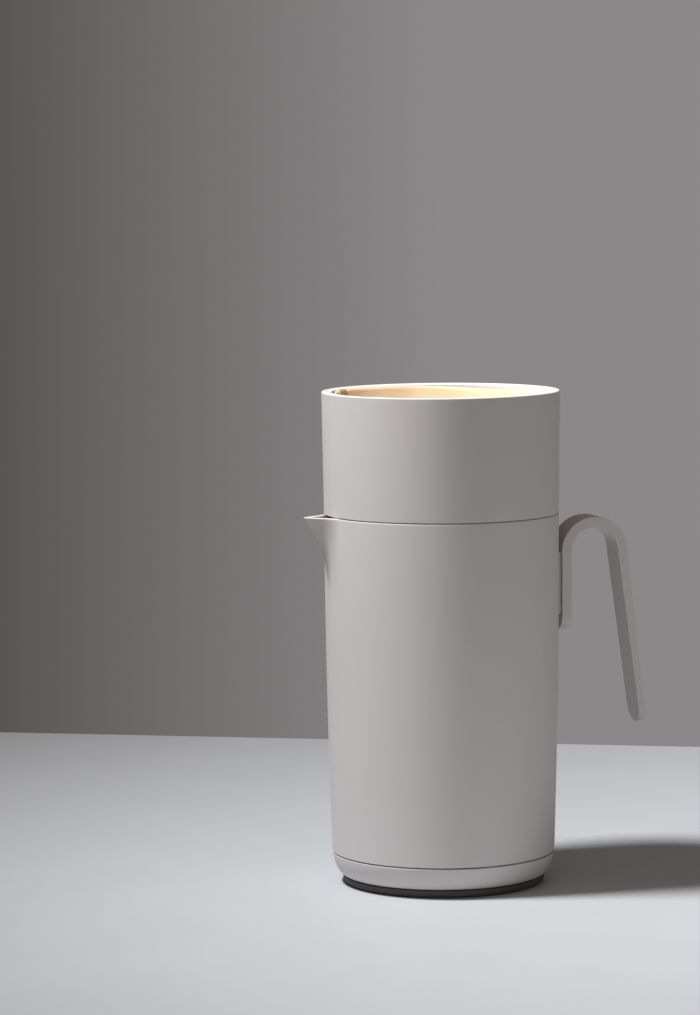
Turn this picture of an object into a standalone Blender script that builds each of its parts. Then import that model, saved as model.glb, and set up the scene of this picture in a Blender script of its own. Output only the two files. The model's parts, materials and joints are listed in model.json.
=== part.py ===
"""Insulated jug with a pour-over filter holder on its rim.

The jug stands on its foot pad at the origin, +Z up. The beak spout points along -X and the
open hook handle along +X. A vacuum flask hangs inside the casing, the filter holder plugs into
the jug's mouth, and a ribbed cone with a paper filter sits in the holder.
"""
import math

import bmesh
import bpy
from mathutils import Matrix

# Fits, in metres
FIT = 0.0003                    # clearance between two pieces that touch
SEAM = 0.0006                   # visible seam between the base cap and the casing
RIM_GAP = 0.0004                # filter holder's foot above the jug's rim
EDGE_ROUND = 0.0008             # rounding of small moulded edges
MERGE = 0.00001                 # points closer than this are one point

# Casing of the jug
RIM_RADIUS = 0.0582             # outside radius at the jug's rim
SHELL_HEIGHT = 0.1685           # casing from its foot to its rim
SHELL_TAPER = 0.0028            # how much narrower the casing is at its foot
SHELL_WALL = 0.0024
SEAT_DEPTH = 0.0080             # depth of the filter holder's seat below the rim
LEDGE_THICKNESS = 0.0024        # ledge that closes the mouth over the flask
MOUTH_LAP = 0.0007              # mouth wider than the flask's bore

# Beak spout, drawn out of the rim
BEAK_REACH = 0.0127             # tip beyond the rim
BEAK_DROP = 0.0420              # height over which it fades into the wall
BEAK_FADE = 2.3                 # power of that fade
BEAK_TIP_ANGLE = math.radians(1.2)      # rounding of the tip in plan
BEAK_HALF_ANGLE = math.radians(6.5)     # where the sides of its keel run out into the wall
BEAK_LIP_SPREAD = math.radians(3.5)     # how much further they spread at the rim
BEAK_LIP_FADE = 8.0             # power with which that spread fades below the rim
BEAK_CUSP = 2.0                 # power of the hollow in its sides
BEAK_SECTOR = math.radians(12.0)        # half of the sector with the finer columns

# Base cap and foot
FOOT_STAND = 0.0040             # foot pad standing below the cap
CAP_HEIGHT = 0.0112             # visible height of the cap
CAP_EDGE_INSET = 0.0042         # how far the cap draws in at its lower edge
CAP_BULGE_RADIUS = 0.0240       # radius of the cap's bowed side
CAP_FLOOR = 0.0024
CAP_COLLAR_HEIGHT = 0.0100      # collar that plugs into the casing
CAP_COLLAR_WALL = 0.0020
FOOT_INSET = 0.0010             # foot pad inside the cap's lower edge
FOOT_SPIGOT_INSET = 0.0020      # spigot of the pad inside its own edge
FOOT_SPIGOT_HEIGHT = 0.0016
BASE_SEAL_DEPTH = 0.0014        # groove in the cap's collar
BASE_SEAL_HEIGHT = 0.0020
BASE_SEAL_LIFT = 0.0035         # groove above the cap's shoulder
BASE_SEAL_BEVEL = 0.0003

# Vacuum flask
FLASK_GAP = 0.0009              # flask inside the cap's collar
FLASK_WALL = 0.0008
VACUUM_GAP = 0.0028
FLASK_CORNER = 0.0080           # outside radius of the bottom corner
FLASK_NECK_HEIGHT = 0.0040      # straight neck under the lip
FLASK_SHOULDER = 0.0080         # height of the shoulder under the neck
NECK_GAP = 0.0006               # between the two walls at the neck
LIP_WIDTH = 0.0024              # flange of the lip beyond the inner wall
NECK_SEAL_THICKNESS = 0.0020
PAD_THICKNESS = 0.0060
PAD_INNER_RADIUS = 0.0180
PAD_OUTER_RADIUS = 0.0380
VENT_RADIUS = 0.0012            # evacuation hole
BEAD_RADIUS = 0.0040
BEAD_HEIGHT = 0.0018

# Handle
STRAP_WIDTH = 0.0175
STRAP_THICKNESS = 0.0050
STRAP_TIP_THICKNESS = 0.0030    # the outer leg thins towards its tip
STRAP_EDGE = 0.0014             # rounding of the strap's edges
STRAP_STANDOFF = 0.0021         # strap off the casing's wall
ARCH_RADIUS = 0.0147            # bend of the strap's middle line
ARCH_BELOW_RIM = 0.0040
INNER_LEG = 0.0397
OUTER_LEG = 0.0904
OUTER_LEAN = math.radians(7.0)
GASKET_INSET = 0.0012           # gasket inside the strap's outline
PLATE_WIDTH = 0.0180
PLATE_THICKNESS = 0.0012
PLATE_MARGIN = 0.0072           # plate beyond the screws' middles
SCREW_SPACING = 0.0180
SCREW_RADIUS = 0.0019
SCREW_HEAD_RADIUS = 0.0036
SCREW_HEAD_HEIGHT = 0.0018
INSERT_WALL = 0.0009
INSERT_LENGTH = 0.0036

# Filter holder
HOLDER_HEIGHT = 0.0604
HOLDER_FLARE = 0.0008           # wider at the top than at the rim of the jug
HOLDER_WALL = 0.0024
HOLDER_FLOOR = 0.0024
SKIRT_WALL = 0.0020
SKIRT_SHORT = 0.0015            # skirt ends above the jug's ledge
SEAL_WIDTH = 0.0032             # silicone ring round the skirt
SEAL_GROOVE = 0.0008            # waist of that ring

# Cone and paper
CONE_SINK = 0.0006              # cone's collar below the holder's rim
CONE_WALL = 0.0020
CONE_START = 0.0035             # collar's straight bore above the cone
CONE_SHOULDER = 0.0027          # collar's shoulder below the start of the cone
CONE_HALF_ANGLE = math.radians(30.0)
CONE_LEDGE_HEIGHT = 0.0024      # ledge in the holder that carries the collar
OUTLET_RADIUS = 0.0110
OUTLET_HEIGHT = 0.0060
RIB_COUNT = 12
RIB_WIDTH = 0.0016
RIB_HEIGHT = 0.0013
RIB_END_GAP = 0.0060            # ribs stop short of the cone's two ends
PAPER_THICKNESS = 0.0005
PAPER_ABOVE_CONE = 0.0018       # paper's edge above the start of the cone
PAPER_TIP_RADIUS = 0.0020

# Facets
TURN_STEPS = 44
SMALL_STEPS = 16
BEAK_STEPS = 24                 # columns in the beak's sector
BEAK_ROWS = 8
REST_STEPS = 42                 # columns in the rest of the casing
OUTLINE_STEPS = 6
WALL_STEPS = 3
CORNER_STEPS = 3
STRAP_EDGE_STEPS = 2
STRAP_EDGE_LIMIT = math.radians(50.0)   # sharper edges of the strap are rounded
SMOOTH_LIMIT = math.radians(35.0)       # sharper edges stay sharp in the shading

# Heights of the stack, from the table up
cap_top = FOOT_STAND + CAP_HEIGHT
shell_foot = cap_top + SEAM
rim = shell_foot + SHELL_HEIGHT
ledge_top = rim - SEAT_DEPTH
ledge_under = ledge_top - LEDGE_THICKNESS
holder_foot = rim + RIM_GAP
holder_top = holder_foot + HOLDER_HEIGHT
cap_recess = FOOT_STAND + FOOT_SPIGOT_HEIGHT
cap_floor = cap_recess + CAP_FLOOR
flask_base = cap_floor + PAD_THICKNESS + 2 * FIT
lip_top = ledge_under - NECK_SEAL_THICKNESS - 2 * FIT
cone_top = holder_top - CONE_SINK
cone_start = cone_top - CONE_START
collar_base = cone_start - CONE_SHOULDER

# Radii of the pieces that nest in each other
shell_foot_radius = RIM_RADIUS - SHELL_TAPER
shell_bore = shell_foot_radius - SHELL_WALL
cap_edge_radius = shell_foot_radius - CAP_EDGE_INSET
collar_radius = shell_bore - FIT
flask_radius = collar_radius - CAP_COLLAR_WALL - FLASK_GAP
inner_radius = flask_radius - FLASK_WALL - VACUUM_GAP
flask_bore = inner_radius - FLASK_WALL
mouth_radius = flask_bore + MOUTH_LAP
seat_radius = RIM_RADIUS - SHELL_WALL
seal_radius = seat_radius - FIT
skirt_radius = seal_radius - SEAL_WIDTH - FIT
holder_top_radius = RIM_RADIUS + HOLDER_FLARE


def holder_radius(z):
    """Outside radius of the filter holder, which flares evenly to its top."""
    return RIM_RADIUS + HOLDER_FLARE * (z - holder_foot) / HOLDER_HEIGHT


def shell_radius(z):
    """Outside radius of the casing, which draws in faster towards its foot."""
    return RIM_RADIUS - SHELL_TAPER * ((rim - z) / SHELL_HEIGHT) ** 2


collar_bore = holder_radius(collar_base) - HOLDER_WALL - FIT - CONE_WALL
cone_wall_across = CONE_WALL / math.cos(CONE_HALF_ANGLE)

# Middle line of the handle strap
leg_middle = rim - ARCH_BELOW_RIM - STRAP_THICKNESS / 2 - ARCH_RADIUS
leg_face = shell_radius(leg_middle) + STRAP_STANDOFF
leg_x = leg_face + STRAP_THICKNESS / 2
leg_foot = leg_middle - INNER_LEG
screw_heights = {
    "upper": leg_middle - INNER_LEG / 2 + SCREW_SPACING / 2,
    "lower": leg_middle - INNER_LEG / 2 - SCREW_SPACING / 2,
}
plate_height = SCREW_SPACING + 2 * PLATE_MARGIN
plate_radius = shell_radius(leg_foot) - SHELL_WALL - FIT
insert_bore = SCREW_RADIUS + FIT
insert_radius = insert_bore + INSERT_WALL


def clear_scene():
    for item in list(bpy.data.objects):
        bpy.data.objects.remove(item)


def new_collection(name):
    collection = bpy.data.collections.new(name)
    bpy.context.scene.collection.children.link(collection)
    return collection


def new_material(name, colour, roughness, metallic=0.0):
    material = bpy.data.materials.new(name)
    material.use_nodes = True
    shader = material.node_tree.nodes["Principled BSDF"]
    shader.inputs["Base Color"].default_value = (*colour, 1.0)
    shader.inputs["Roughness"].default_value = roughness
    shader.inputs["Metallic"].default_value = metallic
    return material


def new_object(name, mesh, collection, material=None, carrier=None):
    """Adds a piece to its collection, shaded smooth, and hangs it on its carrier."""
    piece = bpy.data.objects.new(name, mesh)
    collection.objects.link(piece)
    if material:
        mesh.materials.append(material)
    if carrier:
        piece.parent = carrier
        piece.matrix_parent_inverse = Matrix.Translation(carrier.location).inverted()
    if mesh.polygons:
        mesh.shade_smooth()
        mesh.set_sharp_from_angle(angle=SMOOTH_LIMIT)
    return piece


def new_carrier(name, height, collection, carrier=None):
    """An empty on the jug's axis that carries one set of pieces."""
    empty = bpy.data.objects.new(name, None)
    empty.location = (0.0, 0.0, height)
    collection.objects.link(empty)
    if carrier:
        empty.parent = carrier
        empty.matrix_parent_inverse = Matrix.Translation(carrier.location).inverted()
    return empty


def mesh_from(bm, name):
    mesh = bpy.data.meshes.new(name)
    bm.to_mesh(mesh)
    bm.free()
    return mesh


def arc(centre, radius, start, end, count):
    """Points on an arc in the (radius, height) plane, angles in degrees."""
    points = []
    for i in range(count + 1):
        angle = math.radians(start + (end - start) * i / count)
        points.append((centre[0] + radius * math.cos(angle), centre[1] + radius * math.sin(angle)))
    return points


def outline_mesh(name, outline, closed=True):
    """A half section in the XZ plane as a chain of edges."""
    bm = bmesh.new()
    verts = [bm.verts.new((r, 0.0, z)) for r, z in outline]
    for a, b in zip(verts, verts[1:]):
        bm.edges.new((a, b))
    if closed:
        bm.edges.new((verts[-1], verts[0]))
    return mesh_from(bm, name)


def turned(name, outline, collection, material=None, carrier=None, closed=True, steps=TURN_STEPS):
    """A turned piece: its half section swept once round the Z axis."""
    piece = new_object(name, outline_mesh(name, outline, closed), collection, material, carrier)
    screw = piece.modifiers.new("Turn", "SCREW")
    screw.steps = steps
    screw.render_steps = steps
    screw.use_merge_vertices = True
    screw.merge_threshold = MERGE
    screw.use_smooth_shade = True
    return piece


def as_cutter(piece):
    piece.hide_render = True
    piece.display_type = "WIRE"
    return piece


def boolean(piece, cutter, operation="DIFFERENCE"):
    modifier = piece.modifiers.new(cutter.name, "BOOLEAN")
    modifier.operation = operation
    modifier.object = cutter


def rod_cutter(name, radius, start_x, end_x, z, collection):
    """A round cutter along X for a screw or insert hole."""
    bm = bmesh.new()
    bmesh.ops.create_cone(
        bm, cap_ends=True, segments=SMALL_STEPS, radius1=radius, radius2=radius,
        depth=end_x - start_x, matrix=Matrix.Rotation(math.pi / 2, 4, "Y"),
    )
    cutter = new_object(name, mesh_from(bm, name), collection)
    cutter.location = ((start_x + end_x) / 2, 0.0, z)
    return as_cutter(cutter)


def block_mesh(name, size, centre):
    bm = bmesh.new()
    bmesh.ops.create_cube(bm, size=1.0)
    bmesh.ops.scale(bm, vec=size, verts=bm.verts)
    bmesh.ops.translate(bm, vec=centre, verts=bm.verts)
    return mesh_from(bm, name)


def beak_draw(angle, z):
    """How far the casing's wall is drawn out at a bearing from the spout and a height.

    In plan the beak is a point with hollow sides that run out into the round wall, wider at
    the rim than on the keel below it. Its reach fades from the rim down.
    """
    height_left = 1.0 - max(0.0, (rim - z) / BEAK_DROP)
    if height_left <= 0.0:
        return 0.0
    half_angle = BEAK_HALF_ANGLE + BEAK_LIP_SPREAD * height_left ** BEAK_LIP_FADE
    bearing = math.hypot(angle, BEAK_TIP_ANGLE) - BEAK_TIP_ANGLE
    if bearing >= half_angle:
        return 0.0
    return BEAK_REACH * height_left ** BEAK_FADE * (1.0 - bearing / half_angle) ** BEAK_CUSP


def shell_outline():
    """Half section of the casing: outer side down, then bore, mouth ledge and seat up."""
    beak_foot = rim - BEAK_DROP
    beak_top = rim - EDGE_ROUND
    wall_heights = [beak_top + (beak_foot - beak_top) * i / BEAK_ROWS for i in range(1, BEAK_ROWS + 1)]
    wall_heights += [beak_foot + (shell_foot - beak_foot) * i / WALL_STEPS
                     for i in range(1, WALL_STEPS + 1)]
    rim_round = arc((RIM_RADIUS - EDGE_ROUND, beak_top), EDGE_ROUND, 90, 0, CORNER_STEPS)
    outer = [(shell_radius(z), z) for z in wall_heights]
    bore = [(r - SHELL_WALL, z) for r, z in reversed(outer) if z < ledge_under]
    ledge = [
        (shell_radius(ledge_under) - SHELL_WALL, ledge_under),
        (mouth_radius, ledge_under),
        (mouth_radius, ledge_top),
        (shell_radius(ledge_top) - SHELL_WALL, ledge_top),
    ]
    seat = [(seat_radius, rim - SEAT_DEPTH / 2), (seat_radius, rim)]
    return rim_round + outer + bore + ledge + seat


def make_body_shell(parts, cutters, material, carrier):
    """The moulded casing, swept in two sectors so that the beak has the finer columns."""
    bm = bmesh.new()
    verts = [bm.verts.new((r, 0.0, z)) for r, z in shell_outline()]
    edges = [bm.edges.new(pair) for pair in zip(verts, verts[1:] + verts[:1])]
    axis = {"cent": (0, 0, 0), "axis": (0, 0, 1)}
    bmesh.ops.rotate(bm, cent=(0, 0, 0), verts=verts,
                     matrix=Matrix.Rotation(math.pi - BEAK_SECTOR, 3, "Z"))
    beak = bmesh.ops.spin(bm, geom=verts + edges, angle=2 * BEAK_SECTOR, steps=BEAK_STEPS, **axis)
    bmesh.ops.spin(bm, geom=beak["geom_last"], angle=2 * math.pi - 2 * BEAK_SECTOR,
                   steps=REST_STEPS, **axis)
    bmesh.ops.remove_doubles(bm, verts=bm.verts, dist=MERGE)
    for vert in bm.verts:
        radius = math.hypot(vert.co.x, vert.co.y)
        if radius < mouth_radius + FIT:
            continue
        bearing = math.atan2(vert.co.y, -vert.co.x)
        stretch = (radius + beak_draw(bearing, vert.co.z)) / radius
        vert.co.x *= stretch
        vert.co.y *= stretch
    bmesh.ops.recalc_face_normals(bm, faces=bm.faces)
    shell = new_object("body_shell", mesh_from(bm, "body_shell"), parts, material, carrier)
    for place, z in screw_heights.items():
        hole = rod_cutter(f"shell_hole_{place}", insert_bore, plate_radius - SHELL_WALL,
                          leg_face + STRAP_STANDOFF, z, cutters)
        boolean(shell, hole)


def make_base(parts, plastic, rubber, carrier):
    """The bowed base cap with its collar, the seal in that collar and the dark foot pad."""
    chord_angle = math.atan2(CAP_EDGE_INSET, CAP_HEIGHT)
    chord = math.hypot(CAP_EDGE_INSET, CAP_HEIGHT)
    half_turn = math.asin(chord / 2 / CAP_BULGE_RADIUS)
    first = -chord_angle + half_turn
    centre = (shell_foot_radius - CAP_BULGE_RADIUS * math.cos(first),
              cap_top - CAP_BULGE_RADIUS * math.sin(first))
    side = arc(centre, CAP_BULGE_RADIUS, math.degrees(first),
               math.degrees(first - 2 * half_turn), CORNER_STEPS)
    foot_radius = cap_edge_radius - FOOT_INSET
    spigot_radius = foot_radius - FOOT_SPIGOT_INSET
    collar_top = cap_top + CAP_COLLAR_HEIGHT
    groove = cap_top + BASE_SEAL_LIFT
    outline = [
        (collar_radius - CAP_COLLAR_WALL, collar_top),
        (collar_radius, collar_top),
        (collar_radius, groove + BASE_SEAL_HEIGHT),
        (collar_radius - BASE_SEAL_DEPTH, groove + BASE_SEAL_HEIGHT),
        (collar_radius - BASE_SEAL_DEPTH, groove),
        (collar_radius, groove),
        (collar_radius, cap_top),
        *side,
        (spigot_radius + FIT, FOOT_STAND),
        (spigot_radius + FIT, cap_recess),
        (0.0, cap_recess),
    ]
    floor = [(0.0, cap_floor), (collar_radius - CAP_COLLAR_WALL, cap_floor)]
    turned("base_cap", floor + outline, parts, plastic, carrier, closed=False)

    ring_inner = collar_radius - BASE_SEAL_DEPTH + FIT
    ring_outer = collar_radius
    ring_low = groove + FIT
    ring_high = groove + BASE_SEAL_HEIGHT - FIT
    turned("base_seal_ring", [
        (ring_outer - BASE_SEAL_BEVEL, ring_high),
        (ring_outer, ring_high - BASE_SEAL_BEVEL),
        (ring_outer, ring_low + BASE_SEAL_BEVEL),
        (ring_outer - BASE_SEAL_BEVEL, ring_low),
        (ring_inner, ring_low),
        (ring_inner, ring_high),
    ], parts, rubber, carrier)

    turned("foot_pad", [
        (0.0, cap_recess - FIT),
        (spigot_radius, cap_recess - FIT),
        (spigot_radius, FOOT_STAND - FIT),
        (foot_radius, FOOT_STAND - FIT),
        (foot_radius, EDGE_ROUND),
        (foot_radius - EDGE_ROUND, 0.0),
        (0.0, 0.0),
    ], parts, rubber, carrier, closed=False)


def make_flask(parts, steel, bead_metal, rubber, carrier):
    """The two steel walls, the bead that seals the vacuum, and the rings that hold the flask."""
    lip_under = lip_top - FLASK_WALL
    inner_base = flask_base + FLASK_WALL + VACUUM_GAP
    inner_corner = FLASK_CORNER - FLASK_WALL - VACUUM_GAP
    inner_middle = (inner_radius - inner_corner, inner_base + inner_corner)
    turned("flask_inner_wall", [
        (flask_bore, lip_top),
        (inner_radius + LIP_WIDTH, lip_top),
        (inner_radius + LIP_WIDTH, lip_under),
        (inner_radius, lip_under),
        *arc(inner_middle, inner_corner, 0, -90, CORNER_STEPS),
        (0.0, inner_base),
        (0.0, inner_base + FLASK_WALL),
        *arc(inner_middle, inner_corner - FLASK_WALL, -90, 0, CORNER_STEPS),
    ], parts, steel, carrier)

    neck_bore = inner_radius + NECK_GAP
    neck_foot = lip_under - FIT - FLASK_NECK_HEIGHT
    shoulder_foot = neck_foot - FLASK_SHOULDER
    corner = (flask_radius - FLASK_CORNER, flask_base + FLASK_CORNER)
    turned("flask_outer_wall", [
        (neck_bore + FLASK_WALL, lip_under - FIT),
        (neck_bore + FLASK_WALL, neck_foot),
        (flask_radius, shoulder_foot),
        *arc(corner, FLASK_CORNER, 0, -90, CORNER_STEPS),
        (VENT_RADIUS, flask_base),
        (VENT_RADIUS, flask_base + FLASK_WALL),
        *arc(corner, FLASK_CORNER - FLASK_WALL, -90, 0, CORNER_STEPS),
        (flask_radius - FLASK_WALL, shoulder_foot),
        (neck_bore, neck_foot),
        (neck_bore, lip_under - FIT),
    ], parts, steel, carrier)

    bead_top = flask_base - FIT
    dome = (BEAD_RADIUS ** 2 + BEAD_HEIGHT ** 2) / (2 * BEAD_HEIGHT)
    dome_start = math.degrees(math.asin(BEAD_RADIUS / dome)) - 90
    turned("vacuum_seal_bead", [
        (0.0, flask_base + FLASK_WALL),
        (VENT_RADIUS - FIT, flask_base + FLASK_WALL),
        (VENT_RADIUS - FIT, bead_top),
        *arc((0.0, bead_top - BEAD_HEIGHT + dome), dome, dome_start, -90, CORNER_STEPS),
    ], parts, bead_metal, carrier, closed=False, steps=SMALL_STEPS)

    turned("neck_seal", [
        (mouth_radius, ledge_under - FIT),
        (inner_radius + LIP_WIDTH, ledge_under - FIT),
        (inner_radius + LIP_WIDTH, lip_top + FIT),
        (mouth_radius, lip_top + FIT),
    ], parts, rubber, carrier)

    pad_base = cap_floor + FIT
    turned("flask_support_pad", [
        (PAD_INNER_RADIUS, pad_base + PAD_THICKNESS),
        (PAD_OUTER_RADIUS, pad_base + PAD_THICKNESS),
        (PAD_OUTER_RADIUS, pad_base),
        (PAD_INNER_RADIUS, pad_base),
    ], parts, rubber, carrier)


def strap_stations():
    """Stations along the strap's middle line as (x, z, half width, fullness), from foot to tip.

    The line runs up the inner leg, over the arch and down the leaning outer leg. Both ends are
    full half circles in the strap's own width. Fullness falls from 1 to 0 down the outer leg,
    which thins towards its tip.
    """
    half = STRAP_WIDTH / 2
    sweep = math.pi - OUTER_LEAN
    arch_length = ARCH_RADIUS * sweep
    total = INNER_LEG + arch_length + OUTER_LEG
    centre_x = leg_x + ARCH_RADIUS

    def place(s):
        if s < INNER_LEG:
            return leg_x, leg_foot + s
        turn = min((s - INNER_LEG) / ARCH_RADIUS, sweep)
        angle = math.pi - turn
        x = centre_x + ARCH_RADIUS * math.cos(angle)
        z = leg_middle + ARCH_RADIUS * math.sin(angle)
        run = max(0.0, s - INNER_LEG - arch_length)
        return x + run * math.sin(OUTER_LEAN), z - run * math.cos(OUTER_LEAN)

    quarter = [math.pi / 2 * i / OUTLINE_STEPS for i in range(OUTLINE_STEPS + 1)]
    rising = [(half * (1 - math.cos(t)), half * math.sin(t)) for t in quarter]
    arch_steps = 2 * OUTLINE_STEPS
    arch = [(INNER_LEG + arch_length * i / arch_steps, half) for i in range(arch_steps + 1)]
    falling = [(total - s, w) for s, w in reversed(rising)]
    return [(*place(s), w, min(1.0, (total - s) / OUTER_LEG)) for s, w in rising + arch + falling]


def make_handle(parts, cutters, plastic, rubber, steel, brass, carrier):
    """The open hook strap, and what holds its inner leg to the casing."""
    bm = bmesh.new()
    rows = []
    thickness = bm.verts.layers.deform.verify()
    for x, z, half, fullness in strap_stations():
        sides = (0.0,) if half < FIT else (-half, half)
        rows.append([bm.verts.new((x, y, z)) for y in sides])
        for vert in rows[-1]:
            vert[thickness][0] = fullness
    for low, high in zip(rows, rows[1:]):
        bm.faces.new(low + high[::-1])
    bmesh.ops.recalc_face_normals(bm, faces=bm.faces)
    strap = new_object("handle_strap", mesh_from(bm, "handle_strap"), parts, plastic, carrier)
    wall = strap.modifiers.new("Thickness", "SOLIDIFY")
    wall.vertex_group = strap.vertex_groups.new(name="fullness").name
    wall.thickness = STRAP_THICKNESS
    wall.thickness_vertex_group = STRAP_TIP_THICKNESS / STRAP_THICKNESS
    wall.offset = 0.0
    wall.use_even_offset = True
    rounding = strap.modifiers.new("Rounded edges", "BEVEL")
    rounding.width = STRAP_EDGE
    rounding.segments = STRAP_EDGE_STEPS
    rounding.limit_method = "ANGLE"
    rounding.angle_limit = STRAP_EDGE_LIMIT

    gasket_height = INNER_LEG - STRAP_WIDTH / 2
    gasket_size = (2 * STRAP_STANDOFF + SHELL_WALL, STRAP_WIDTH - 2 * GASKET_INSET, gasket_height)
    gasket_centre = (leg_face - FIT - gasket_size[0] / 2, 0.0, leg_middle - gasket_height / 2)
    gasket = new_object("handle_gasket", block_mesh("handle_gasket", gasket_size, gasket_centre),
                        parts, rubber, carrier)
    wall_heights = [leg_middle + STRAP_WIDTH - (INNER_LEG + 2 * STRAP_WIDTH) * i / OUTLINE_STEPS
                    for i in range(OUTLINE_STEPS + 1)]
    wall_side = [(shell_radius(z) + FIT, z) for z in wall_heights]
    wall_core = turned("gasket_wall_cutter", [
        (0.0, wall_heights[0]),
        *wall_side,
        (0.0, wall_heights[-1]),
    ], cutters, closed=False, steps=2 * TURN_STEPS)
    boolean(gasket, as_cutter(wall_core))

    plate_middle = leg_middle - INNER_LEG / 2
    plate = turned("handle_backing_plate", [
        (plate_radius - PLATE_THICKNESS, plate_middle + plate_height / 2),
        (plate_radius, plate_middle + plate_height / 2),
        (plate_radius, plate_middle - plate_height / 2),
        (plate_radius - PLATE_THICKNESS, plate_middle - plate_height / 2),
    ], parts, steel, carrier)
    sector_size = (plate_radius, PLATE_WIDTH, 2 * plate_height)
    sector_mesh = block_mesh("plate_sector", sector_size, (plate_radius, 0.0, plate_middle))
    sector = new_object("plate_sector", sector_mesh, cutters)
    boolean(plate, as_cutter(sector), "INTERSECT")

    head_seat = plate_radius - PLATE_THICKNESS - FIT
    insert_start = leg_face + FIT
    insert_end = insert_start + INSERT_LENGTH
    for place, z in screw_heights.items():
        hole = rod_cutter(f"screw_hole_{place}", insert_bore, head_seat - SCREW_HEAD_HEIGHT,
                          leg_face, z, cutters)
        boolean(gasket, hole)
        boolean(plate, hole)
        pocket = rod_cutter(f"insert_pocket_{place}", insert_radius + FIT, leg_face - STRAP_STANDOFF,
                            insert_end + FIT, z, cutters)
        boolean(strap, pocket)
        along_x = (0.0, math.pi / 2, 0.0)
        length = insert_end - head_seat
        screw = turned(f"handle_screw_{place}", [
            (0.0, length),
            (SCREW_RADIUS, length),
            (SCREW_RADIUS, 0.0),
            (SCREW_HEAD_RADIUS, 0.0),
            (SCREW_HEAD_RADIUS, -SCREW_HEAD_HEIGHT / 2),
            (SCREW_HEAD_RADIUS / 2, -SCREW_HEAD_HEIGHT),
            (0.0, -SCREW_HEAD_HEIGHT),
        ], parts, steel, carrier, closed=False, steps=SMALL_STEPS)
        screw.rotation_euler = along_x
        screw.location = (head_seat, 0.0, z)
        insert = turned(f"handle_insert_{place}", [
            (insert_bore, INSERT_LENGTH),
            (insert_radius, INSERT_LENGTH),
            (insert_radius, 0.0),
            (insert_bore, 0.0),
        ], parts, brass, carrier, steps=SMALL_STEPS)
        insert.rotation_euler = along_x
        insert.location = (insert_start, 0.0, z)


def cone_radius(z):
    """Inside radius of the cone at a height."""
    return collar_bore - (cone_start - z) * math.tan(CONE_HALF_ANGLE)


def make_filter_holder(parts, plastic, rubber, carrier):
    """The flared tube with its floor ring, skirt and cone ledge, and the seal round the skirt."""
    rim_round = HOLDER_WALL / 2
    skirt_foot = ledge_top + SKIRT_SHORT
    ledge_high = collar_base - FIT
    ledge_low = ledge_high - CONE_LEDGE_HEIGHT
    ledge_radius = cone_radius(collar_base) + cone_wall_across + FIT
    ledge_width = holder_radius(ledge_low) - HOLDER_WALL - ledge_radius
    rim_middle = (holder_top_radius - rim_round, holder_top - rim_round)
    turned("dripper_shell", [
        *arc(rim_middle, rim_round, 90, 0, CORNER_STEPS),
        (RIM_RADIUS, holder_foot + EDGE_ROUND),
        (RIM_RADIUS - EDGE_ROUND, holder_foot),
        (skirt_radius, holder_foot),
        (skirt_radius, skirt_foot),
        (skirt_radius - SKIRT_WALL, skirt_foot),
        (skirt_radius - SKIRT_WALL, holder_foot + HOLDER_FLOOR),
        (RIM_RADIUS - HOLDER_WALL, holder_foot + HOLDER_FLOOR),
        (holder_radius(ledge_low) - HOLDER_WALL, ledge_low - ledge_width),
        (ledge_radius, ledge_low),
        (ledge_radius, ledge_high),
        (holder_radius(ledge_high) - HOLDER_WALL, ledge_high),
        *arc(rim_middle, rim_round, 180, 90, CORNER_STEPS)[:-1],
    ], parts, plastic, carrier)

    seal_inner = skirt_radius + FIT
    seal_low = ledge_top + FIT
    seal_high = holder_foot - FIT
    waist_low = seal_low + (seal_high - seal_low) / 3
    waist_high = seal_high - (seal_high - seal_low) / 3
    turned("dripper_seal", [
        (seal_inner, seal_high),
        (seal_radius - SEAL_GROOVE, seal_high),
        (seal_radius, waist_high),
        (seal_radius - SEAL_GROOVE, (waist_low + waist_high) / 2),
        (seal_radius, waist_low),
        (seal_radius - SEAL_GROOVE, seal_low),
        (seal_inner, seal_low),
    ], parts, rubber, carrier)


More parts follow.
